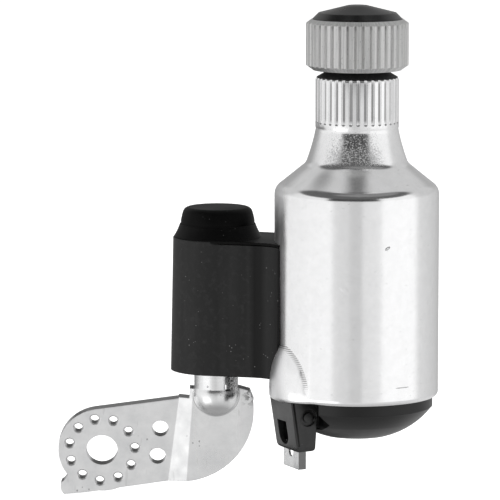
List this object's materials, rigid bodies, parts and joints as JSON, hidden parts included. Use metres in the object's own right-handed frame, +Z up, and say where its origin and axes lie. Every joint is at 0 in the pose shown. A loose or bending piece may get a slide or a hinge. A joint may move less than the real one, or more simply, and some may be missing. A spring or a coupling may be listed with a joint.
{
  "type": "bottle dynamo",
  "caption": "Bicycle bottle dynamo: polished aluminium bottle with fluted neck and serrated drive roller, black pivot housing with push button, and stamped steel fork bracket.",
  "frame": {"origin": "centre of the fork-bolt hole, in the middle of the bracket plate's thickness", "axes": "+Z up along the swivel tube and the bottle, +X from the bracket towards the bottle, +Y towards the wheel, away from the viewer"},
  "size_m": [0.0939, 0.0428, 0.1237],
  "materials": {
    "plated_steel": "bright zinc plating, satin, with fine scuffs",
    "polished_aluminium": "polished, with small dents and scratches",
    "roller_zinc": "matte grey metal with fine vertical lines",
    "black_plastic": "satin black moulded plastic",
    "black_rubber": "matte black rubber",
    "ivory_plastic": "plain moulded plastic",
    "spring_steel": "plain drawn steel",
    "sintered_bronze": "plain sintered bronze and brass strip",
    "pole_iron": "stamped soft iron",
    "copper_winding": "enamelled copper wire",
    "ferrite": "pressed ferrite",
    "felt": "oiled felt"
  },
  "bodies": {
    "bracket": {"mounting_bracket": "plated_steel", "latch_collar": "black_plastic", "torsion_spring": "spring_steel"},
    "dynamo_body": {"pivot_housing": "black_plastic", "housing_cover": "black_plastic", "can_shell": "polished_aluminium", "saddle_screws": "spring_steel", "bearing_sleeve": "plated_steel", "upper_bush": "sintered_bronze", "lower_bush": "sintered_bronze", "oil_felt": "felt", "dust_seal": "black_rubber", "upper_claw_pole": "pole_iron", "lower_claw_pole": "pole_iron", "coil_bobbin": "ivory_plastic", "stator_coil": "copper_winding", "contact_strip": "sintered_bronze", "base_cap": "black_plastic", "terminal_block": "black_plastic", "button_spring": "spring_steel", "terminal_spring": "spring_steel"},
    "rotor": {"rotor_shaft": "spring_steel", "magnet_hub": "ivory_plastic", "rotor_magnet": "ferrite", "drive_roller": "roller_zinc", "roller_nut": "spring_steel", "roller_cap": "black_plastic", "thrust_washer": "spring_steel", "shaft_circlip": "spring_steel"},
    "button": {"push_button": "black_plastic"},
    "terminal_tab": {"terminal_clip": "plated_steel"}
  },
  "joints": [
    {"name": "swivel", "type": "hinge", "parent": "bracket", "child": "dynamo_body", "pos_m": [0.02855, -0.00495, 0.02101], "axis": [0, 0, 1], "range_deg": [0, 35]},
    {"name": "rotor_spin", "type": "hinge", "parent": "dynamo_body", "child": "rotor", "pos_m": [0.06293, -0.01612, 0.07646], "axis": [0, 0, 1], "continuous": true},
    {"name": "button_press", "type": "slide", "parent": "dynamo_body", "child": "button", "axis": [0, 0, -1], "range_m": [0, 0.0022], "stiffness_N_per_m": 1000, "springref_m": -0.001, "deforming": ["button_spring"]},
    {"name": "tab_press", "type": "slide", "parent": "dynamo_body", "child": "terminal_tab", "axis": [0, 0, 1], "range_m": [0, 0.004], "stiffness_N_per_m": 400, "springref_m": -0.002, "deforming": ["terminal_spring"]}
  ]
}
